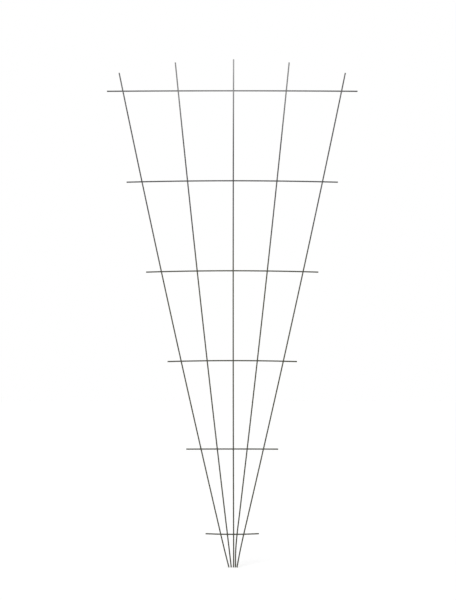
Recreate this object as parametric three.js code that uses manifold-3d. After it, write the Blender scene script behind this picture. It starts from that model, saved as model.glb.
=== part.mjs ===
// Fan trellis for climbing plants, welded from round steel wire.
// Five rods spread upwards from one narrow foot, and six crossbars lie across their backs.
// Each of the thirty crossings is a spot weld with a small collar of squeezed-out metal.
// Millimetres, +Z up, the front faces -Y. The origin is the middle of the centre rod's foot.

import * as THREE from 'three';
import { mergeVertices } from 'three/addons/utils/BufferGeometryUtils.js';
import Module from 'manifold-3d';

const wasm = await Module();
wasm.setup();

// Wire: rods and crossbars are the same bar, drawn with flats that touch its true circle
const wireDiameter = 4;
const wireSides = 12;
const stepLength = 50;

// Clearance between one piece and the next where they are welded together
const seatGap = 0.3;

// Rods: they share one stock length, and the two outer ones are cut a little shorter
const rodLength = 1502;
const outerRodTrim = 5;

// Rods: each one's lean, and its distance from the fan's axis at the lowest crossbar
const innerLean = THREE.MathUtils.degToRad(6.3);
const outerLean = THREE.MathUtils.degToRad(12.42);
const innerSpread = 14.4;
const outerSpread = 34.2;

// Rods: the centre one is welded this far to the right of the fan's axis
const centreRodShift = 4;

// Rods: how far the middle of each bows away from the fan's axis, and the centre one towards it
const innerBow = 3.4;
const outerBow = 4.6;
const centreBow = 1.2;

// Rods: the free room between neighbouring feet, alike all over the left side. On the right
// the inner foot keeps its own room from the centre one, and the outer one crowds against it
const leftFootRoom = 2.9;
const rightFootRoom = 1.6;
const rightPairRoom = 0.4;

// Crossbars: the top one lies this far below the outer rods' tips
const outerTipHeight = 54;

// Crossbars: how far the ends reach past the outer rods, and the largest rise of a middle
const crossbarOverhang = 45;
const crossbarRise = 4.2;

// Crossbars from the top down, each in shares of the top one's height, of the overhang and of the rise
const crossbarShares = [
  { name: 'crossbar_1_top', height: 1, overhang: 1.06, rise: 0.36 },
  { name: 'crossbar_2', height: 0.809, overhang: 1.03, rise: 1 },
  { name: 'crossbar_3', height: 0.62, overhang: 1.02, rise: 0.95 },
  { name: 'crossbar_4', height: 0.432, overhang: 0.91, rise: 0.67 },
  { name: 'crossbar_5', height: 0.248, overhang: 0.98, rise: 0.1 },
  { name: 'crossbar_6_bottom', height: 0.0703, overhang: 1, rise: -0.45 },
];

// Welds: how far a collar shows past the wires, and its thickness between them
const collarReach = 1.1;
const collarThickness = 3.2;
const collarSides = 12;
const collarRings = 6;

// The whole trellis has one dark grey powder coat
const coatColour = 0x4b4a49;
const coatRoughness = 0.5;
const coatMetalness = 0;

// Places that follow from the sizes above
const outerRodLength = rodLength - outerRodTrim;
const topCrossbarHeight = outerRodLength * Math.cos(outerLean) - outerTipHeight;
const lowestCrossbarHeight = topCrossbarHeight * crossbarShares.at(-1).height;
const crossbarDepth = wireDiameter + seatGap;
const leftFootPitch = wireDiameter + leftFootRoom;
const rightFootPitch = wireDiameter + rightFootRoom;
const rightPairPitch = wireDiameter + rightPairRoom;

// Every rod's foot and spread are measured from the fan's axis, outwards on its own side
const rods = [
  {
    name: 'left_outer',
    side: -1,
    length: outerRodLength,
    lean: outerLean,
    spread: outerSpread,
    bow: outerBow,
    foot: 2 * leftFootPitch - centreRodShift,
  },
  {
    name: 'left_inner',
    side: -1,
    length: rodLength,
    lean: innerLean,
    spread: innerSpread,
    bow: innerBow,
    foot: leftFootPitch - centreRodShift,
  },
  {
    name: 'centre',
    side: 1,
    length: rodLength,
    lean: 0,
    spread: centreRodShift,
    bow: -centreBow,
    foot: centreRodShift,
  },
  {
    name: 'right_inner',
    side: 1,
    length: rodLength,
    lean: innerLean,
    spread: innerSpread,
    bow: innerBow,
    foot: centreRodShift + rightFootPitch,
  },
  {
    name: 'right_outer',
    side: 1,
    length: outerRodLength,
    lean: outerLean,
    spread: outerSpread,
    bow: outerBow,
    foot: centreRodShift + rightFootPitch + rightPairPitch,
  },
];

// A shallow arch of unit rise: 0 at both ends of its run, 1 in the middle
function arch(share) {
  return 4 * share * (1 - share);
}

// A rod's distance from the fan's axis if it ran on below the lowest crossbar as it does above
function rodSpreadAt(rod, height) {
  const rise = height - lowestCrossbarHeight;
  const fullRise = rod.length * Math.cos(rod.lean) - lowestCrossbarHeight;
  return rod.spread + rise * Math.tan(rod.lean) + rod.bow * arch(rise / fullRise);
}

// A rod's place across the fan: below the lowest crossbar it curves gently to its foot
function rodPlaceAt(rod, height) {
  const belowShare = Math.max(0, 1 - height / lowestCrossbarHeight);
  const footDraw = rod.foot - rodSpreadAt(rod, 0);
  return rod.side * (rodSpreadAt(rod, height) + footDraw * belowShare ** 2);
}

// The middle line of a rod, from its foot to its tip
class RodLine extends THREE.Curve {
  constructor(rod) {
    super();
    this.rod = rod;
  }

  getPoint(share, point = new THREE.Vector3()) {
    const height = share * this.rod.length * Math.cos(this.rod.lean);
    return point.set(rodPlaceAt(this.rod, height), 0, height);
  }
}

// A crossbar's middle line, from its left end to its right end, arched above its ends
class CrossbarLine extends THREE.Curve {
  constructor(crossbar) {
    super();
    this.crossbar = crossbar;
  }

  getPoint(share, point = new THREE.Vector3()) {
    const place = (share - 0.5) * this.crossbar.length;
    return point.set(place, crossbarDepth, crossbarHeightAt(this.crossbar, place));
  }
}

// The height of a crossbar's middle line at a place across the fan
function crossbarHeightAt(crossbar, place) {
  return crossbar.height + crossbar.rise * arch(place / crossbar.length + 0.5);
}

// Each crossbar is as long as the outer rods are apart at its height, plus both overhangs
function makeCrossbar(shares) {
  const height = shares.height * topCrossbarHeight;
  const outerRod = rods.at(-1);
  const reach = rodSpreadAt(outerRod, height) + shares.overhang * crossbarOverhang;
  return { name: shares.name, height, length: 2 * reach, rise: shares.rise * crossbarRise };
}

// Where a crossbar passes behind a rod, found by stepping between the two lines
function findCrossing(rod, crossbar) {
  let height = crossbar.height;
  for (let round = 0; round < 4; round += 1) {
    height = crossbarHeightAt(crossbar, rodPlaceAt(rod, height));
  }
  return new THREE.Vector3(rodPlaceAt(rod, height), crossbarDepth / 2, height);
}

// The wire's section, turned so that flats face forwards, backwards and to both sides
function wireSection(diameter) {
  const cornerRadius = diameter / 2 / Math.cos(Math.PI / wireSides);
  const corners = [];
  for (let side = 0; side < wireSides; side += 1) {
    const angle = (side + 0.5) * 2 * Math.PI / wireSides;
    corners.push(new THREE.Vector2(Math.cos(angle), Math.sin(angle)).multiplyScalar(cornerRadius));
  }
  return new THREE.Shape(corners);
}

// A wire of the given diameter along a line, with both ends cut square
function wireAlong(line, length, diameter) {
  return new THREE.ExtrudeGeometry(wireSection(diameter), {
    steps: Math.ceil(length / stepLength),
    extrudePath: line,
    bevelEnabled: false,
  });
}

// A closed geometry as a solid that can be cut
function toSolid(geometry) {
  const bare = geometry.clone();
  bare.deleteAttribute('normal');
  bare.deleteAttribute('uv');
  const merged = mergeVertices(bare);
  return new wasm.Manifold(new wasm.Mesh({
    numProp: 3,
    vertProperties: new Float32Array(merged.attributes.position.array),
    triVerts: new Uint32Array(merged.index.array),
  }));
}

// A cut solid as a geometry again
function toGeometry(solid) {
  const mesh = solid.getMesh();
  const geometry = new THREE.BufferGeometry();
  geometry.setAttribute('position', new THREE.BufferAttribute(mesh.vertProperties, 3));
  geometry.setIndex(new THREE.BufferAttribute(mesh.triVerts, 1));
  geometry.computeVertexNormals();
  return geometry;
}

// The room that a wire takes up inside a weld collar: the wire, grown by the seat gap
function wireRoom(line, length) {
  return toSolid(wireAlong(line, length, wireDiameter + 2 * seatGap));
}

// A weld collar: a flat bead centred on the crossing, cut away where the two wires lie
function collarGeometry(crossing, rodRoom, crossbarRoom) {
  const radius = wireDiameter / 2 + collarReach;
  const bead = new THREE.SphereGeometry(1, collarSides, collarRings);
  bead.scale(radius, collarThickness / 2, radius);
  const away = crossing.clone().negate().toArray();
  const collar = toSolid(bead).subtract(rodRoom.translate(away)).subtract(crossbarRoom.translate(away));
  return toGeometry(collar);
}

// A named piece with its own powder-coat material
function addPiece(parent, name, geometry) {
  const coat = new THREE.MeshStandardMaterial({
    color: coatColour,
    roughness: coatRoughness,
    metalness: coatMetalness,
  });
  const piece = new THREE.Mesh(geometry, coat);
  piece.name = name;
  parent.add(piece);
  return piece;
}

// The fan is built about its own axis, which stands to the left of the centre rod
const fan = new THREE.Group();
fan.position.x = -centreRodShift;

const rodRooms = new Map();
for (const rod of rods) {
  const line = new RodLine(rod);
  addPiece(fan, `upright_${rod.name}`, wireAlong(line, rod.length, wireDiameter));
  rodRooms.set(rod, wireRoom(line, rod.length));
}

crossbarShares.forEach((shares, index) => {
  const crossbar = makeCrossbar(shares);
  const line = new CrossbarLine(crossbar);
  addPiece(fan, crossbar.name, wireAlong(line, crossbar.length, wireDiameter));
  const crossbarRoom = wireRoom(line, crossbar.length);
  for (const rod of rods) {
    const crossing = findCrossing(rod, crossbar);
    const geometry = collarGeometry(crossing, rodRooms.get(rod), crossbarRoom);
    const collar = addPiece(fan, `weld_row${index + 1}_${rod.name}`, geometry);
    collar.position.copy(crossing);
  }
});

const trellis = new THREE.Group();
trellis.add(fan);

export default trellis;
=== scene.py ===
# %% [markdown]
# # A fan trellis of welded wire
#
# The object is a flat climbing frame for plants. Five steel rods spread upwards from one narrow
# foot, six crossbars lie behind them, and every crossing is a spot weld. One dark grey powder coat
# covers it all. The shape is simple, so a good likeness depends on small things: how round the wire
# is, how its ends were sheared off, how the two wires flow together at a weld, and how a satin coat
# lies over all of it.
#
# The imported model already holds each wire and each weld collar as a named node. This lesson reads
# the wires' own middle lines from those nodes, makes a finer wire along each line, and dresses every
# crossing with a fused weld.

# %% Load the fixed frame
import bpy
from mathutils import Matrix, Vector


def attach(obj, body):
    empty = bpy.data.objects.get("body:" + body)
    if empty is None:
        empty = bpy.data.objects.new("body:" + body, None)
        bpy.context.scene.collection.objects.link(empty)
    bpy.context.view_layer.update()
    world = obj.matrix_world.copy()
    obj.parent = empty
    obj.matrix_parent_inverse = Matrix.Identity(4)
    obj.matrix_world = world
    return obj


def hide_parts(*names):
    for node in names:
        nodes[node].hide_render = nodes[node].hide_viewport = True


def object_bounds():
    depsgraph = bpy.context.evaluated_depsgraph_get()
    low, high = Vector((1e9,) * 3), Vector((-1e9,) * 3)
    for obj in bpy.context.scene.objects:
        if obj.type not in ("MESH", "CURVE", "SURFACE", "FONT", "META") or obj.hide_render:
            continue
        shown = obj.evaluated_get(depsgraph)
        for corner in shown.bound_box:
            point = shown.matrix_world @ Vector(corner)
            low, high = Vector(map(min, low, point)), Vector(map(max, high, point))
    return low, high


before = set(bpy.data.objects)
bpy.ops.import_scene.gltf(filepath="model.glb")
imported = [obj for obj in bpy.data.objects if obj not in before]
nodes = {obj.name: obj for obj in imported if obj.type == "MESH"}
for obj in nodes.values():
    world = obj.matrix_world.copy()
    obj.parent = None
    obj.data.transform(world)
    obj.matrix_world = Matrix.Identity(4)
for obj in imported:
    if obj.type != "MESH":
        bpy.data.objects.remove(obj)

cad_box = [list(corner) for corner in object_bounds()]
print("CAD box in metres:", cad_box)

# %% Names used all the way through
import math

import bpy
import numpy as np

MM = 0.001
rod_names = [
    "upright_left_outer",
    "upright_left_inner",
    "upright_centre",
    "upright_right_inner",
    "upright_right_outer",
]
crossbar_names = sorted(name for name in nodes if name.startswith("crossbar_"))
print(len(rod_names), "rods and", len(crossbar_names), "crossbars")

# %% [markdown]
# ## The middle line of a wire
#
# A wire in the frame is a faceted bar: rings of corners, one ring every five centimetres. The middle
# of a ring is a point of the wire's middle line. A line could be typed in again by hand, but then it
# could drift away from the frame, so it is read from the node instead.
#
# Rods run along Z and crossbars along X, and neither ever turns back on itself. A line is therefore
# kept as a plain function of the place along the wire: for a rod it gives the place across the fan,
# and for a crossbar the height. A cubic curve through the ring centres takes the corners out of it.

# %% Read the middle lines
# Corners that lie closer together than this along the wire belong to one ring
RING_GAP = 5 * MM


class WireLine:
    """The smooth middle line of one wire, as a function of the place along its long axis."""

    def __init__(self, node):
        corners = np.array([vertex.co for vertex in nodes[node].data.vertices])
        self.name = node
        self.long_axis = 2 if node.startswith("upright") else 0
        self.cross_axis = 2 - self.long_axis
        corners = corners[np.argsort(corners[:, self.long_axis])]
        breaks = np.flatnonzero(np.diff(corners[:, self.long_axis]) > RING_GAP) + 1
        rings = np.split(corners, breaks)
        centres = np.array([(ring.min(0) + ring.max(0)) / 2 for ring in rings])
        self.depth = centres[:, 1].mean()
        self.knots = centres[:, self.long_axis]
        self.places = centres[:, self.cross_axis]
        self.slopes = np.gradient(self.places, self.knots)
        self.start = self.knots[0]
        self.end = self.knots[-1]

    def place_at(self, along):
        """Where the line stands on its cross axis, by a cubic piece between two knots."""
        spot = np.clip(np.searchsorted(self.knots, along) - 1, 0, len(self.knots) - 2)
        width = self.knots[spot + 1] - self.knots[spot]
        share = (along - self.knots[spot]) / width
        low, high = self.places[spot], self.places[spot + 1]
        low_slope, high_slope = self.slopes[spot] * width, self.slopes[spot + 1] * width
        return (
            low * (1 + 2 * share) * (1 - share) ** 2
            + high * share**2 * (3 - 2 * share)
            + low_slope * share * (1 - share) ** 2
            - high_slope * share**2 * (1 - share)
        )

    def direction_at(self, along):
        """The unit direction of the line, as rows of X, Y, Z."""
        step = MM / 2
        slope = (self.place_at(along + step) - self.place_at(along - step)) / (2 * step)
        direction = np.zeros((len(slope), 3))
        direction[:, self.long_axis] = 1
        direction[:, self.cross_axis] = slope
        return direction / np.linalg.norm(direction, axis=1)[:, None]

    def points_at(self, along):
        """Points of the line, as rows of X, Y, Z."""
        points = np.full((len(along), 3), self.depth)
        points[:, self.long_axis] = along
        points[:, self.cross_axis] = self.place_at(along)
        return points


rods = [WireLine(name) for name in rod_names]
crossbars = [WireLine(name) for name in crossbar_names]
for line in rods + crossbars:
    print(f"{line.name}: {len(line.knots)} rings, {(line.end - line.start) / MM:.0f} mm long")

# %% [markdown]
# ## Where the wires cross
#
# Each crossbar passes behind each rod. Starting at the crossbar's height, stepping back and forth
# between the two lines closes in on the crossing within a few rounds, because a crossbar is nearly
# level and a rod nearly upright. The weld sits there, halfway between the two wires.

# %% Find the thirty crossings
SEARCH_ROUNDS = 6


def find_crossing(rod, crossbar):
    """The crossing's X, Y and Z."""
    height = crossbar.places[:1]
    for _ in range(SEARCH_ROUNDS):
        height = crossbar.place_at(rod.place_at(height))
    return np.array([rod.place_at(height)[0], (rod.depth + crossbar.depth) / 2, height[0]])


crossings = {
    (rod.name, crossbar.name): find_crossing(rod, crossbar) for rod in rods for crossbar in crossbars
}
print(len(crossings), "crossings; the first lies at", crossings[rods[0].name, crossbars[0].name])

# %% [markdown]
# ## The wire
#
# A bar like this is drawn steel, 3.8 mm thick, under a tenth of a millimetre of coat. It could be a
# curve with a round bevel, which is quick, but such a tube ends in a sharp flat disc and is equally
# thick everywhere. Rings of points give more: they stand close together where something happens and
# far apart where nothing does.
#
# Three things happen along a wire. The coat is never quite even, so the radius breathes by a
# hundredth of a millimetre or two. The welding electrodes pressed a small flat into the outer side of
# each wire at each crossing. And each end was sheared off: one side of the cut is rolled over, the
# face leans a little, and the coat rounds the rim.

# %% Two helpers for soft shapes
WAVE_STRAY = 0.2


def fade(distance, width):
    """1 at distances of zero and less, falling smoothly to 0 at the given width."""
    share = np.clip(distance / width, 0, 1)
    return 1 - share**2 * (3 - 2 * share)


def slow_waves(along, chance, longest=90 * MM, count=5):
    """A smooth random curve of about unit height, made of a few sine waves."""
    total = np.zeros_like(along)
    for order in range(1, count + 1):
        turns = along * 2 * math.pi * order / longest
        stray = chance.uniform(1 - WAVE_STRAY, 1 + WAVE_STRAY)
        total += np.sin(turns * stray + chance.uniform(0, 2 * math.pi)) / order
    return total / 2


# %% Rings along the wire
WIRE_RADIUS = 1.98 * MM
COAT_UNEVENNESS = 0.012 * MM
AROUND = 36
PLAIN_PITCH = 7 * MM
FINE_PITCH = 0.6 * MM
FINE_REACH = 6 * MM
END_ROOM = 1.4 * MM

angles = np.arange(AROUND) * 2 * math.pi / AROUND


def stations(line, crossing_places):
    """Where the rings stand: evenly spread, and close together round each crossing."""
    first = line.start + END_ROOM
    last = line.end - END_ROOM
    places = np.linspace(first, last, round((last - first) / PLAIN_PITCH))
    for place in crossing_places:
        keep = np.abs(places - place) > FINE_REACH
        fine = np.arange(place - FINE_REACH, place + FINE_REACH + FINE_PITCH / 2, FINE_PITCH)
        places = np.concatenate([places[keep], fine])
    return np.unique(places.clip(first, last))


def ring_points(line, along, radii):
    """One row of points for each station, round the line. radii holds a radius for every point."""
    centres = line.points_at(along)
    direction = line.direction_at(along)
    depthwise = np.array([0.0, 1.0, 0.0])
    sideways = np.cross(direction, depthwise)
    spread = np.cos(angles)[None, :, None] * sideways[:, None, :]
    spread = spread + np.sin(angles)[None, :, None] * depthwise
    return centres[:, None, :] + radii[:, :, None] * spread


# %% The electrode's flat
ELECTRODE_DEPTH = 0.17 * MM
ELECTRODE_HALF_LENGTH = 3.4 * MM
ELECTRODE_FADE = 1.1 * MM


def press_flats(points, line, along, crossing_places, outwards):
    """Press a flat into the outer side of the wire at each crossing.

    Returns the pressed points, and for each point how far it was pressed, from 0 to 1.
    """
    from_crossing = np.abs(along[:, None] - np.array(crossing_places)[None, :]).min(1)
    depth = ELECTRODE_DEPTH * fade(from_crossing - ELECTRODE_HALF_LENGTH, ELECTRODE_FADE)
    limit = (WIRE_RADIUS - depth)[:, None]
    height = (points[:, :, 1] - line.depth) * outwards
    pressed = np.clip(height - limit, 0, None)
    points[:, :, 1] -= outwards * pressed
    return points, pressed / ELECTRODE_DEPTH


# %% The sheared end
RIM_ROUNDING = 0.42 * MM
RIM_STEPS = 6
FACE_STEPS = 6
FACE_SETBACK = 0.12 * MM
FACE_LEAN = math.radians(3)
ROLL_OVER = 0.22 * MM


def end_profile():
    """Ring sizes from the wire's side, over the rounded rim, to near the middle of the face.

    Returns how far each ring lies behind the tip, its radius, and how much of the rim it is.
    """
    turn = np.linspace(0, math.pi / 2, RIM_STEPS + 1)
    rim_setback = FACE_SETBACK + RIM_ROUNDING * (1 - np.sin(turn))
    rim_radius = WIRE_RADIUS - RIM_ROUNDING * (1 - np.cos(turn))
    face_radius = np.linspace(rim_radius[-1], 0, FACE_STEPS + 1)[1:-1]
    setback = np.concatenate([rim_setback, np.full(len(face_radius), FACE_SETBACK)])
    radius = np.concatenate([rim_radius, face_radius])
    rim_share = np.concatenate([np.sin(2 * turn), np.zeros(len(face_radius))])
    return setback, radius, rim_share


def shear_offset(radius, side):
    """How far each point of a ring is drawn back, because the cut leans and one side rolled over.

    The high powers keep the roll-over to one side and near the rim.
    """
    towards = np.cos(angles - side)
    lean = radius * math.tan(FACE_LEAN) * towards
    rolled = ROLL_OVER * np.clip(towards, 0, 1) ** 3 * (radius / WIRE_RADIUS) ** 4
    return lean + rolled


def end_rings(line, at_start, side):
    """The rings of one end. Returns their points, the rim share and the middle of the face."""
    setback, radius, rim_share = end_profile()
    tip, inwards = (line.start, 1) if at_start else (line.end, -1)
    station = tip + inwards * setback
    points = ring_points(line, station, radius[:, None] * np.ones(AROUND))
    drawn_back = np.array([shear_offset(ring_radius, side) for ring_radius in radius])
    direction = line.direction_at(station)
    points += inwards * drawn_back[:, :, None] * direction[:, None, :]
    middle = line.points_at(station[-1:])
    return points, rim_share, middle


# %% [markdown]
# The rings are joined into one closed skin. Three numbers are kept at every point for the finish to
# use later: how close it is to the rim of a cut end, how close it is to a weld, and how far the
# electrode pressed it. A fourth note is the point's place on a straight bar, so that marks left by
# drawing and stacking can run along the wire, however it leans.

# %% Join the rings into one skin
def skin_faces(ring_count):
    """Quads between neighbouring rings, and a fan to the middle point of each end."""
    faces = []
    for ring in range(ring_count - 1):
        for step in range(AROUND):
            here = ring * AROUND + step
            beside = ring * AROUND + (step + 1) % AROUND
            faces.append((here, here + AROUND, beside + AROUND, beside))
    first_middle = ring_count * AROUND
    last_ring = (ring_count - 1) * AROUND
    for step in range(AROUND):
        beside = (step + 1) % AROUND
        faces.append((first_middle, step, beside))
        faces.append((first_middle + 1, last_ring + beside, last_ring + step))
    return faces


def make_mesh(name, points, faces, measures=None):
    """A smooth-shaded mesh object, with one attribute for each named measure."""
    mesh = bpy.data.meshes.new(name)
    mesh.from_pydata(points.tolist(), [], faces)
    mesh.polygons.foreach_set("use_smooth", [True] * len(mesh.polygons))
    for title, values in (measures or {}).items():
        values = np.asarray(values, np.float32)
        if values.ndim == 2:
            attribute = mesh.attributes.new(title, "FLOAT_VECTOR", "POINT")
            attribute.data.foreach_set("vector", values.ravel())
        else:
            attribute = mesh.attributes.new(title, "FLOAT", "POINT")
            attribute.data.foreach_set("value", values)
    piece = bpy.data.objects.new(name, mesh)
    bpy.context.scene.collection.objects.link(piece)
    return piece


# %% Build one wire
WELD_REACH = 9 * MM


def make_wire(line, crossing_places, outwards, seed):
    """One coated wire along its line, with sheared ends and pressed flats.

    outwards is the side that the electrode pressed: FRONT or BACK.
    """
    chance = np.random.default_rng(seed)
    body = stations(line, crossing_places)
    radii = WIRE_RADIUS + COAT_UNEVENNESS * slow_waves(body, chance)[:, None] * np.ones(AROUND)
    rings = ring_points(line, body, radii)
    rings, pressed = press_flats(rings, line, body, crossing_places, outwards)
    rim = np.zeros(len(body))
    middles = []
    for at_start in (True, False):
        points, rim_share, middle = end_rings(line, at_start, chance.uniform(0, 2 * math.pi))
        middles.append(middle)
        unpressed = np.zeros((len(points), AROUND))
        if at_start:
            rings = np.concatenate([points[::-1], rings])
            rim = np.concatenate([rim_share[::-1], rim])
            pressed = np.concatenate([unpressed, pressed])
        else:
            rings = np.concatenate([rings, points])
            rim = np.concatenate([rim, rim_share])
            pressed = np.concatenate([pressed, unpressed])
    points = np.concatenate([rings.reshape(-1, 3), *middles])
    along = points[:, line.long_axis]
    from_weld = np.abs(along[:, None] - np.array(crossing_places)[None, :]).min(1)
    # The place on a straight bar. A rod's axes change places, so that every bar lies along X
    bar_place = points.copy()
    bar_place[:, line.cross_axis] -= line.place_at(along)
    if line.long_axis == 2:
        bar_place = bar_place[:, ::-1]
    measures = {
        "rim": np.concatenate([np.repeat(rim, AROUND), [0, 0]]),
        "pressed": np.concatenate([pressed.ravel(), [0, 0]]),
        "near_weld": fade(from_weld, WELD_REACH),
        "bar_place": bar_place,
    }
    return make_mesh("coated_" + line.name, points, skin_faces(len(rings)), measures)


# %% Make the five rods and the six crossbars
FRONT = -1
BACK = 1
ROD_SEED = 100
CROSSBAR_SEED = 200

wire_pieces = {}
for number, rod in enumerate(rods):
    heights = [crossings[rod.name, crossbar.name][2] for crossbar in crossbars]
    wire_pieces[rod.name] = make_wire(rod, heights, FRONT, ROD_SEED + number)
for number, crossbar in enumerate(crossbars):
    places = [crossings[rod.name, crossbar.name][0] for rod in rods]
    wire_pieces[crossbar.name] = make_wire(crossbar, places, BACK, CROSSBAR_SEED + number)
print("points in the wires:", sum(len(piece.data.vertices) for piece in wire_pieces.values()))

# %% [markdown]
# ## The weld
#
# A spot weld of two crossed wires is made under pressure. The steel softens where they touch, the
# wires sink together a little, and soft metal is squeezed out into a lumpy lip all round the contact.
# The coat then fills the narrow corners.
#
# A ball or a doughnut pushed over the crossing would show a hard line where it meets each wire. A
# distance field is better. It says for any point how far the nearest metal is, and a smooth minimum
# of the two wires and the lip blends them with soft fillets. From the middle of the crossing every
# part of the weld can be seen in a straight line, so the skin is found by walking outwards along rays
# until the field says that the metal ends. Away from the contact the skin sinks slowly below the
# wires, so that it leaves them at a slight angle and shows no edge.

# %% The distance field of one weld
LIP_RADIUS = 2.1 * MM
LIP_THICKNESS = 0.6 * MM
LIP_LUMPS = 0.14 * MM
LEAST_LUMP = 0.3
LIP_LUMP_ORDERS = 5
LIP_CRUMBS = 0.035 * MM
LIP_CRUMB_ORDERS = range(8, 15)
LIP_STRAY = 0.25 * MM
LIP_TILT = 0.12
BLEND = 1.3 * MM
SINK_DEPTH = 0.3 * MM
SINK_OUT = (2.3 * MM, 5.2 * MM)
SINK_DEEP = (1.7 * MM, 3.8 * MM)


def smooth_minimum(first, second, width):
    """The smaller of two distances, rounded off where they are nearly alike."""
    overlap = np.clip(width - np.abs(first - second), 0, None) / width
    return np.minimum(first, second) - overlap**2 * width / 4


def rise_between(value, limits):
    """0 below the first limit, rising smoothly to 1 at the second."""
    return 1 - fade(value - limits[0], limits[1] - limits[0])


class WeldField:
    """The metal at one crossing, as distances from points about the crossing's middle."""

    def __init__(self, rod_direction, crossbar_direction, half_gap, chance):
        self.wires = ((rod_direction, -half_gap), (crossbar_direction, half_gap))
        self.lumps = []
        for order in range(1, LIP_LUMP_ORDERS + 1):
            height = LIP_LUMPS * chance.uniform(LEAST_LUMP, 1) / order
            self.lumps.append((order, height, chance.uniform(0, 2 * math.pi)))
        for order in LIP_CRUMB_ORDERS:
            height = LIP_CRUMBS * chance.uniform(0, 1)
            self.lumps.append((order, height, chance.uniform(0, 2 * math.pi)))
        self.lip_middle = chance.uniform(-LIP_STRAY, LIP_STRAY, 2)
        self.tilt = chance.uniform(-LIP_TILT, LIP_TILT, 2)

    def wire_distances(self, points):
        """The distance from the skin of the rod and of the crossbar."""
        distances = []
        for direction, depth in self.wires:
            offset = points - np.array([0, depth, 0])
            beside = offset - (offset @ direction)[:, None] * direction
            distances.append(np.linalg.norm(beside, axis=1) - WIRE_RADIUS)
        return distances

    def lip_distance(self, points):
        """The distance from the squeezed-out lip, a lumpy ring between the wires."""
        across = points[:, 0] - self.lip_middle[0]
        up = points[:, 2] - self.lip_middle[1]
        turn = np.arctan2(up, across)
        thickness = LIP_THICKNESS
        for order, height, phase in self.lumps:
            thickness = thickness + height * np.cos(order * turn + phase)
        lift = points[:, 1] + self.tilt[0] * across + self.tilt[1] * up
        return np.hypot(np.hypot(across, up) - LIP_RADIUS, lift) - thickness

    def outside(self, points):
        """Whether each point lies outside the metal."""
        rod_distance, crossbar_distance = self.wire_distances(points)
        metal = smooth_minimum(rod_distance, crossbar_distance, BLEND)
        metal = smooth_minimum(metal, self.lip_distance(points), BLEND)
        sink_out = rise_between(np.hypot(points[:, 0], points[:, 2]), SINK_OUT)
        sink_deep = rise_between(np.abs(points[:, 1]), SINK_DEEP)
        return metal + SINK_DEPTH * np.maximum(sink_out, sink_deep) > 0

    def corner_share(self, points):
        """1 in the corner between the two wires, 0 where one of them is much nearer."""
        rod_distance, crossbar_distance = self.wire_distances(points)
        return fade(np.abs(rod_distance - crossbar_distance), BLEND)


# %% Rays from the middle of a crossing
WELD_AROUND = 88
WELD_UP = 29


def weld_rays():
    """Unit rays in rings about the depth axis, evenly spread, with one ray at each pole."""
    turns = np.arange(WELD_AROUND) * 2 * math.pi / WELD_AROUND
    lifts = np.arcsin(np.linspace(-1, 1, WELD_UP + 2)[1:-1])
    rays = [(0, -1, 0)]
    for lift in lifts:
        for turn in turns:
            level = math.cos(lift)
            rays.append((level * math.cos(turn), math.sin(lift), level * math.sin(turn)))
    rays.append((0, 1, 0))
    return np.array(rays)


def weld_faces():
    """Quads between the rings of rays, and fans at the two poles."""
    faces = []
    last = 1 + WELD_UP * WELD_AROUND
    top = last - WELD_AROUND
    for step in range(WELD_AROUND):
        beside = (step + 1) % WELD_AROUND
        faces.append((0, 1 + step, 1 + beside))
        for ring in range(WELD_UP - 1):
            low = 1 + ring * WELD_AROUND
            high = low + WELD_AROUND
            faces.append((low + step, high + step, high + beside, low + beside))
        faces.append((last, top + beside, top + step))
    return faces


# %% Walk outwards to the skin
WELD_LIMIT = 5.6 * MM
WALK_STEP = 0.08 * MM
HALVINGS = 12


def walk_to_skin(field, rays):
    """The distance along each ray at which the metal ends."""
    reach = np.full(len(rays), WELD_LIMIT)
    found = np.zeros(len(rays), bool)
    for distance in np.arange(WALK_STEP, WELD_LIMIT, WALK_STEP):
        newly = field.outside(rays * distance) & ~found
        reach[newly] = distance
        found |= newly
    low = reach - WALK_STEP
    high = reach.copy()
    for _ in range(HALVINGS):
        middle = (low + high) / 2
        outside = field.outside(rays * middle[:, None])
        high = np.where(outside, middle, high)
        low = np.where(outside, low, middle)
    return np.where(found, high, WELD_LIMIT)


# %% Make the thirty welds
WELD_SEED = 300
SEEDS_A_ROW = 10

rays = weld_rays()
faces_of_weld = weld_faces()


def make_weld(rod, crossbar, name, seed):
    """The fused metal at one crossing."""
    middle = crossings[rod.name, crossbar.name]
    rod_direction = rod.direction_at(middle[2:3])[0]
    crossbar_direction = crossbar.direction_at(middle[0:1])[0]
    half_gap = (crossbar.depth - rod.depth) / 2
    field = WeldField(rod_direction, crossbar_direction, half_gap, np.random.default_rng(seed))
    points = rays * walk_to_skin(field, rays)[:, None]
    measures = {"corner": field.corner_share(points), "near_weld": np.ones(len(points))}
    return make_mesh("fused_" + name, middle + points, faces_of_weld, measures)


weld_pieces = {}
for row, crossbar in enumerate(crossbars):
    for column, rod in enumerate(rods):
        node = f"weld_row{row + 1}_{rod.name.removeprefix('upright_')}"
        seed = WELD_SEED + SEEDS_A_ROW * row + column
        weld_pieces[node] = make_weld(rod, crossbar, node, seed)
print("points in one weld:", len(rays))

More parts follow.
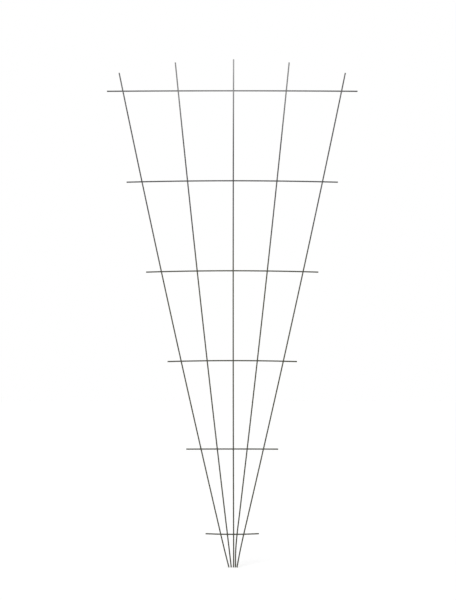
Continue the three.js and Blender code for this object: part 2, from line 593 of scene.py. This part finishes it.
# %% [markdown]
# ## The powder coat
#
# The finish is a satin powder coat in a dark umber grey. Powder is sprayed on dry and melted in an
# oven, so it flows into a skin with a fine orange peel, under a millimetre from crest to crest. The
# colour is a pigment in plastic, so the shader is a plain dielectric, not a metal.
#
# A real coat is never one flat colour. It is cloudy over a few centimetres. In the photograph the
# grey is browner over the lower two thirds and neutral above, and these two tints blend slowly into
# each other. Round the middle of the top the colour is also made paler, fading out slowly: a painted
# highlight, standing in for glare there. The coat lies thin over the rims of the cut ends and over the
# electrode's flats, where the primer shows through. Light scuffs run along the wires, from packing and
# stacking. In the corners of the welds the melted powder pooled, so it is smoother there, and the
# colour there is darkened as painted shade. The coat is a little duller on the warm metal round about.
#
# The same recipe makes the coat of the rods, of the crossbars and of the welds. Each gets its own
# values, so that each can be changed alone. A mesh that doesn't hold one of the kept measures gives 0
# for it, so one recipe serves them all: a weld has no rims, and a wire has no corners.


# %% Helpers for the materials
# The Mix node has sockets for every kind of data, and these are the numbers of those for colours
MIX_FIRST = 6
MIX_SECOND = 7
MIX_RESULT = 2


def new_material(name):
    """An empty node material with its shader joined to the output."""
    material = bpy.data.materials.new(name)
    material.use_nodes = True
    tree = material.node_tree
    tree.nodes.clear()
    output = tree.nodes.new("ShaderNodeOutputMaterial")
    shader = tree.nodes.new("ShaderNodeBsdfPrincipled")
    tree.links.new(shader.outputs["BSDF"], output.inputs["Surface"])
    return material, tree, shader


def noise(tree, place, size, detail=2.0, roughness=0.5):
    """Noise whose patches are about the given size in metres."""
    node = tree.nodes.new("ShaderNodeTexNoise")
    node.inputs["Scale"].default_value = 1 / size
    node.inputs["Detail"].default_value = detail
    node.inputs["Roughness"].default_value = roughness
    tree.links.new(place, node.inputs["Vector"])
    return node.outputs["Fac"]


def mix_colours(tree, share, first, second):
    """Mix two colours. Each is either a colour or a socket."""
    node = tree.nodes.new("ShaderNodeMix")
    node.data_type = "RGBA"
    tree.links.new(share, node.inputs["Factor"])
    for value, number in ((first, MIX_FIRST), (second, MIX_SECOND)):
        if isinstance(value, tuple):
            node.inputs[number].default_value = value
        else:
            tree.links.new(value, node.inputs[number])
    return node.outputs[MIX_RESULT]


def remap(tree, value, from_range, to_range):
    """Stretch a value from one range to another, held inside the new range."""
    node = tree.nodes.new("ShaderNodeMapRange")
    node.inputs["From Min"].default_value, node.inputs["From Max"].default_value = from_range
    node.inputs["To Min"].default_value, node.inputs["To Max"].default_value = to_range
    tree.links.new(value, node.inputs["Value"])
    return node.outputs["Result"]


def combine(tree, operation, first, second):
    """A sum, product or other operation on two values. Each is a number or a socket."""
    node = tree.nodes.new("ShaderNodeMath")
    node.operation = operation
    for value, socket in zip((first, second), node.inputs):
        if isinstance(value, (int, float)):
            socket.default_value = value
        else:
            tree.links.new(value, socket)
    return node.outputs["Value"]


def measure(tree, name, output="Fac"):
    """A number or place that was kept at every point of the mesh."""
    node = tree.nodes.new("ShaderNodeAttribute")
    node.attribute_name = name
    return node.outputs[output]


# %% Colours of the coat, of its painted highlight and of its painted shade
# How much of the red and of the blue a full share of umber takes away
UMBER_RED_LOSS = 0.01
UMBER_BLUE_LOSS = 0.5
OPAQUE = 1.0


def umber_grey(level, umber):
    """A grey of the given linear level, with a share of brown umber in it."""
    red = level * (1 - UMBER_RED_LOSS * umber)
    blue = level * (1 - UMBER_BLUE_LOSS * umber)
    return (red, level, blue, OPAQUE)


def shaded(colour, lightness):
    """The same colour, lighter or darker all over."""
    return tuple(channel * lightness for channel in colour[:3]) + (OPAQUE,)


COAT_DARK = umber_grey(0.040, umber=0)
COAT_LIGHT = umber_grey(0.078, umber=0)
COAT_UMBER = umber_grey(0.060, umber=0.9)
# Not a coat colour: a painted highlight, laid over the middle of the top where glare falls
PAINTED_HIGHLIGHT = umber_grey(0.30, umber=0)
# Painted shade for the corners of the welds, between the two wires
CORNER_SHADE = umber_grey(0.030, umber=0.3)
SCUFF = umber_grey(0.125, umber=0.2)
PRIMER = umber_grey(0.21, umber=0.1)

# %% Where the tints and the painted highlight lie
UMBER_FULL_HEIGHT = 0.88
UMBER_END_HEIGHT = 1.04
DRIFT_SIZE = 240 * MM
DRIFT_RANGE = (0.35, 0.60)
LEAST_DRIFT = 0.6
# The painted highlight: a paler patch of colour round the middle of the top, fading out slowly
HIGHLIGHT_MIDDLE = np.array([-0.01, 0.0, 1.50])
HIGHLIGHT_WIDENING = np.array([1.5, 1.0, 1.0])
HIGHLIGHT_FULL_REACH = 0.02
HIGHLIGHT_END_REACH = 0.26


def umber_share(tree, place):
    """How brown the coat is: most over the lower two thirds, in slowly drifting patches."""
    axes = tree.nodes.new("ShaderNodeSeparateXYZ")
    tree.links.new(place, axes.inputs["Vector"])
    low = remap(tree, axes.outputs["Z"], (UMBER_FULL_HEIGHT, UMBER_END_HEIGHT), (1.0, 0.0))
    drift = noise(tree, place, DRIFT_SIZE, detail=1.0)
    return combine(tree, "MULTIPLY", low, remap(tree, drift, DRIFT_RANGE, (LEAST_DRIFT, 1.0)))


def painted_highlight_share(tree, place, strength):
    """How much painted highlight lies on the coat: most at the middle of the top, fading out sooner
    down than sideways.
    """
    centred = tree.nodes.new("ShaderNodeMapping")
    centred.inputs["Scale"].default_value = 1 / HIGHLIGHT_WIDENING
    centred.inputs["Location"].default_value = -HIGHLIGHT_MIDDLE / HIGHLIGHT_WIDENING
    tree.links.new(place, centred.inputs["Vector"])
    reach = tree.nodes.new("ShaderNodeVectorMath")
    reach.operation = "LENGTH"
    tree.links.new(centred.outputs["Vector"], reach.inputs[0])
    return remap(tree, reach.outputs["Value"], (HIGHLIGHT_FULL_REACH, HIGHLIGHT_END_REACH), (strength, 0.0))


# %% [markdown]
# Clouds, specks, scuffs and chips all start as noise, a grey value that wanders between 0 and 1 over a
# given size. Only a part of its range is stretched to the full mark. A wide range round the middle
# gives soft clouds. A narrower range further up gives sharper marks with clean coat between them, which
# is how scuffs and chips lie.

# %% Clouds, specks and the umber tint
CLOUD_RANGE = (0.3, 0.7)
SPECK_RANGE = (0.35, 0.65)
SPECK_STRENGTH = 0.16


def cloudy_colour(tree, place, clouds, specks, lightness):
    """Grey in slow clouds with fine specks, turning umber towards the foot."""
    cloud_share = remap(tree, clouds, CLOUD_RANGE, (0.0, 1.0))
    speck_share = remap(tree, specks, SPECK_RANGE, (-SPECK_STRENGTH, SPECK_STRENGTH))
    share = combine(tree, "ADD", cloud_share, speck_share)
    grey = mix_colours(tree, share, shaded(COAT_DARK, lightness), shaded(COAT_LIGHT, lightness))
    return mix_colours(tree, umber_share(tree, place), grey, shaded(COAT_UMBER, lightness))


# %% Scuffs that run along the wire
SCUFF_SIZE = 0.45 * MM
SCUFF_STRETCH = 0.05
SCUFF_RANGE = (0.56, 0.72)


def scuff_share(tree, strength):
    """How scuffed the coat is: streaks of noise that is stretched along the bar."""
    stretch = tree.nodes.new("ShaderNodeVectorMath")
    stretch.operation = "MULTIPLY"
    stretch.inputs[1].default_value = (SCUFF_STRETCH, 1, 1)
    tree.links.new(measure(tree, "bar_place", "Vector"), stretch.inputs[0])
    streaks = noise(tree, stretch.outputs["Vector"], SCUFF_SIZE, detail=3.0, roughness=0.6)
    return remap(tree, streaks, SCUFF_RANGE, (0.0, strength))


# %% Chips where the coat is thin
CHIP_SIZE = 0.5 * MM
CHIP_RANGE = (0.47, 0.62)
CHIP_STRENGTH = 0.8
PRESSED_THINNING = 0.45


def chip_share(tree, place):
    """How much primer shows: in chips over the rims of the ends and the electrode's flats."""
    thin_flats = combine(tree, "MULTIPLY", measure(tree, "pressed"), PRESSED_THINNING)
    thin = combine(tree, "MAXIMUM", measure(tree, "rim"), thin_flats)
    chips = noise(tree, place, CHIP_SIZE, detail=3.0, roughness=0.65)
    return combine(tree, "MULTIPLY", thin, remap(tree, chips, CHIP_RANGE, (0.0, CHIP_STRENGTH)))


# %% [markdown]
# The marks are laid one over the other: the tints, the scuffs, the painted highlight round the top, the
# painted shade in the weld corners, and last the chips down to the primer. The order matters. A scuff
# is lighter than the dark coat but darker than the painted highlight, so the highlight is laid over
# the scuffs and softens them.

# %% The whole colour
# How strong the painted shade in the weld corners is
CORNER_SHADE_STRENGTH = 0.6


def coat_colour(tree, place, clouds, specks, lightness, painted_highlight_strength, scuffed):
    """The colour of the coat with all its marks, its painted highlight and its painted shade."""
    colour = cloudy_colour(tree, place, clouds, specks, lightness)
    if scuffed:
        colour = mix_colours(tree, scuff_share(tree, scuffed), colour, SCUFF)
    # Painted highlight: the colour made paler round the middle of the top
    colour = mix_colours(tree, painted_highlight_share(tree, place, painted_highlight_strength), colour, PAINTED_HIGHLIGHT)
    # Painted shade: the colour darkened in the corners of the welds, where the wires meet
    corner_shade_share = remap(tree, measure(tree, "corner"), (0, 1), (0, CORNER_SHADE_STRENGTH))
    colour = mix_colours(tree, corner_shade_share, colour, CORNER_SHADE)
    return mix_colours(tree, chip_share(tree, place), colour, PRIMER)


# %% [markdown]
# Gloss and relief follow the same causes as the colour. One roughness for the whole trellis would be
# quicker, but then every wire would carry the same clean highlight. Roughness here drifts with the
# clouds, rises on a weld and the warm metal beside it, and falls where the powder pooled or the
# electrode pressed. The orange peel is too fine to be worth modelling, so it is a bump in the shader.

# %% Gloss and orange peel
COAT_ROUGHNESS = 0.5
CLOUDY_ROUGHNESS = 0.05
NEAR_WELD_ROUGHNESS = 0.07
POOLED_SMOOTHNESS = 0.12
PRESSED_SMOOTHNESS = 0.08
PEEL_SIZE = 0.75 * MM
SPECKS_IN_PEEL = 0.12


def coat_roughness(tree, clouds):
    """Satin, in clouds, duller on and beside a weld, smoother in its corners and on pressed flats."""
    limits = (COAT_ROUGHNESS - CLOUDY_ROUGHNESS, COAT_ROUGHNESS + CLOUDY_ROUGHNESS)
    roughness = remap(tree, clouds, CLOUD_RANGE, limits)
    changes = (
        ("ADD", "near_weld", NEAR_WELD_ROUGHNESS),
        ("SUBTRACT", "corner", POOLED_SMOOTHNESS),
        ("SUBTRACT", "pressed", PRESSED_SMOOTHNESS),
    )
    for operation, cause, strength in changes:
        change = combine(tree, "MULTIPLY", measure(tree, cause), strength)
        roughness = combine(tree, operation, roughness, change)
    return roughness


def orange_peel(tree, place, specks, height):
    """The fine waves and grains of the coat, as a bump of the given height."""
    waves = noise(tree, place, PEEL_SIZE, detail=2.0)
    grains = combine(tree, "MULTIPLY", specks, SPECKS_IN_PEEL)
    bump = tree.nodes.new("ShaderNodeBump")
    bump.inputs["Strength"].default_value = 1.0
    bump.inputs["Distance"].default_value = height
    tree.links.new(combine(tree, "ADD", waves, grains), bump.inputs["Height"])
    return bump.outputs["Normal"]


# %% The powder coat recipe
CLOUD_SIZE = 26 * MM
SPECK_SIZE = 0.16 * MM
COAT_IOR = 1.5
COAT_SPECULAR = 0.33


def powder_coat(name, peel_height, painted_highlight_strength, lightness=1.0, scuffed=0.0):
    """A satin powder coat. Its third argument says how strong the painted highlight round the top is,
    and scuffed how strong the scuffs are.
    """
    material, tree, shader = new_material(name)
    place = tree.nodes.new("ShaderNodeTexCoord").outputs["Object"]
    clouds = noise(tree, place, CLOUD_SIZE, detail=4.0)
    specks = noise(tree, place, SPECK_SIZE, detail=1.0)
    colour = coat_colour(tree, place, clouds, specks, lightness, painted_highlight_strength, scuffed)
    tree.links.new(colour, shader.inputs["Base Color"])
    tree.links.new(coat_roughness(tree, clouds), shader.inputs["Roughness"])
    tree.links.new(orange_peel(tree, place, specks, peel_height), shader.inputs["Normal"])
    shader.inputs["IOR"].default_value = COAT_IOR
    shader.inputs["Specular IOR Level"].default_value = COAT_SPECULAR
    return material


# %% Mix the three coats
WIRE_PEEL = 0.09 * MM
WELD_PEEL = 0.10 * MM
WIRE_SCUFFS = 0.5

# Each coat carries the painted highlight round the top, strongest on the rods
rod_coat = powder_coat("rod_powder_coat", WIRE_PEEL, painted_highlight_strength=0.85, scuffed=WIRE_SCUFFS)
# The crossbars' coat is a darker copy of the same coat: painted shade, offsetting the extra light that
# their upper sides catch
crossbar_coat = powder_coat(
    "crossbar_powder_coat", WIRE_PEEL, painted_highlight_strength=0.5, lightness=0.92, scuffed=WIRE_SCUFFS
)
weld_coat = powder_coat("weld_powder_coat", WELD_PEEL, painted_highlight_strength=0.7, lightness=0.95)
for coat in (rod_coat, crossbar_coat, weld_coat):
    print(f"{coat.name}: {len(coat.node_tree.nodes)} nodes")


# %% Coat every piece
def dress(piece, material, node):
    """Finish a piece and let it stand for its node of the frame."""
    piece.data.materials.append(material)
    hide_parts(node)
    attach(piece, "root")


for rod in rods:
    dress(wire_pieces[rod.name], rod_coat, rod.name)
for crossbar in crossbars:
    dress(wire_pieces[crossbar.name], crossbar_coat, crossbar.name)
for node, piece in weld_pieces.items():
    dress(piece, weld_coat, node)
print("pieces dressed:", len(wire_pieces) + len(weld_pieces))

# %% [markdown]
# ## The studio
#
# The trellis stands on a plain pale floor in front of white. The white comes from the world and the
# floor, but only in the camera's view and in reflections. Rays that light the metal find a floor that
# doesn't glow and a world half as bright.
#
# Two suns with wide discs light the fan evenly from foot to tip, as large softboxes far away would:
# the key from the upper left, and a weaker fill from the right. A lamp close by would light the top
# more than the foot. One small softbox does just that on purpose, because the photograph is paler
# round the middle of the top.

# %% Floor and world
FLOOR_SIZE = 14.0
FLOOR_DROP = 0.5 * MM
AMBIENT = 0.5
FLOOR_GLOW = 0.64
FLOOR_PAINT = (0.45, 0.45, 0.45, OPAQUE)
WHITE = (1.0, 1.0, 1.0, OPAQUE)


def camera_or_mirror(tree):
    """1 for rays from the camera, from reflections and through glass, 0 for light rays."""
    path = tree.nodes.new("ShaderNodeLightPath")
    seen = combine(tree, "MAXIMUM", path.outputs["Is Camera Ray"], path.outputs["Is Glossy Ray"])
    return combine(tree, "MAXIMUM", seen, path.outputs["Is Transmission Ray"])


def make_floor():
    """A large level sheet just below the lowest foot."""
    level = cad_box[0][2] - FLOOR_DROP
    half = FLOOR_SIZE / 2
    corners = [(-half, -half, level), (half, -half, level), (half, half, level), (-half, half, level)]
    floor = make_mesh("studio_floor", np.array(corners), [(0, 1, 2, 3)])
    material, tree, shader = new_material("studio_floor_paint")
    shader.inputs["Base Color"].default_value = FLOOR_PAINT
    shader.inputs["Roughness"].default_value = 1.0
    shader.inputs["Specular IOR Level"].default_value = 0.0
    shader.inputs["Emission Color"].default_value = WHITE
    glow = combine(tree, "MULTIPLY", camera_or_mirror(tree), FLOOR_GLOW)
    tree.links.new(glow, shader.inputs["Emission Strength"])
    floor.data.materials.append(material)
    print(f"floor {(cad_box[0][2] - level) / MM:.1f} mm below the lowest foot")


def make_world():
    """White to look at, and a moderate even light for everything else."""
    world = bpy.data.worlds.new("studio_world")
    bpy.context.scene.world = world
    world.use_nodes = True
    tree = world.node_tree
    background = tree.nodes["Background"]
    background.inputs["Color"].default_value = WHITE
    strength = remap(tree, camera_or_mirror(tree), (0, 1), (AMBIENT, 1.0))
    tree.links.new(strength, background.inputs["Strength"])


make_floor()
make_world()


# %% Lamps
def aim(lamp, azimuth, elevation):
    """Turn a lamp so that its light comes from the given direction, in degrees from the front."""
    lamp.rotation_euler = (math.pi / 2 - math.radians(elevation), 0, math.radians(azimuth))


def wide_sun(name, azimuth, elevation, width, strength):
    """Even light from far away, as from a very large softbox. width is its angle in degrees."""
    light = bpy.data.lights.new(name, "SUN")
    light.angle = math.radians(width)
    light.energy = strength
    lamp = bpy.data.objects.new(name, light)
    aim(lamp, azimuth, elevation)
    bpy.context.scene.collection.objects.link(lamp)


def softbox(name, place, azimuth, elevation, size, watts):
    """A square soft lamp at a place, shining from the given direction."""
    light = bpy.data.lights.new(name, "AREA")
    light.size = size
    light.energy = watts
    lamp = bpy.data.objects.new(name, light)
    lamp.location = place
    lamp.visible_camera = False
    aim(lamp, azimuth, elevation)
    bpy.context.scene.collection.objects.link(lamp)


TOP_SOFTBOX_PLACE = (-0.02, -0.90, 1.66)

wide_sun("key_light", azimuth=-30, elevation=40, width=12, strength=1.3)
wide_sun("fill_light", azimuth=50, elevation=20, width=40, strength=0.4)
softbox("top_softbox", TOP_SOFTBOX_PLACE, azimuth=0, elevation=13, size=0.35, watts=4)
print("lamps:", len(bpy.data.lights))

# %% [markdown]
# ## The camera
#
# The photograph looks straight at the flat of the fan: the crossbars are level and both sides spread
# alike. A flat object seen square on looks the same through any lens, so an ordinary portrait lens is
# used. The photograph is 600 pixels high. Its five rods have nearly one length, and if that is 1.5 m,
# a usual length of bar, one of its pixels is 2.956 mm wide on the trellis. That fixes how far away the
# camera stands, and the centre rod's foot, which the photograph shows at a known pixel, fixes where it
# points.

# %% Place the camera
PHOTO_WIDTH = 456
PHOTO_HEIGHT = 600
PIXEL = 2.956 * MM
FOOT_COLUMN = 233.6
FOOT_ROW = 567.4
LENS = 85
SENSOR = 36
CLIP_REACH = 10

# Blender lays the sensor's width along the longer side of the picture, here its height
camera_data = bpy.data.cameras.new("photo_camera")
camera_data.lens = LENS
camera_data.sensor_width = SENSOR
camera_distance = PHOTO_HEIGHT * PIXEL * LENS / SENSOR
camera_data.clip_end = CLIP_REACH * camera_distance
camera = bpy.data.objects.new("photo_camera", camera_data)
bpy.context.scene.collection.objects.link(camera)
bpy.context.scene.camera = camera
camera.location = (
    (PHOTO_WIDTH / 2 - FOOT_COLUMN) * PIXEL,
    rods[0].depth - camera_distance,
    (FOOT_ROW - PHOTO_HEIGHT / 2) * PIXEL,
)
camera.rotation_euler = (math.pi / 2, 0, 0)
print(f"camera {camera_distance:.2f} m in front of the fan")

# %% Colour as it is
bpy.context.scene.view_settings.view_transform = "Standard"
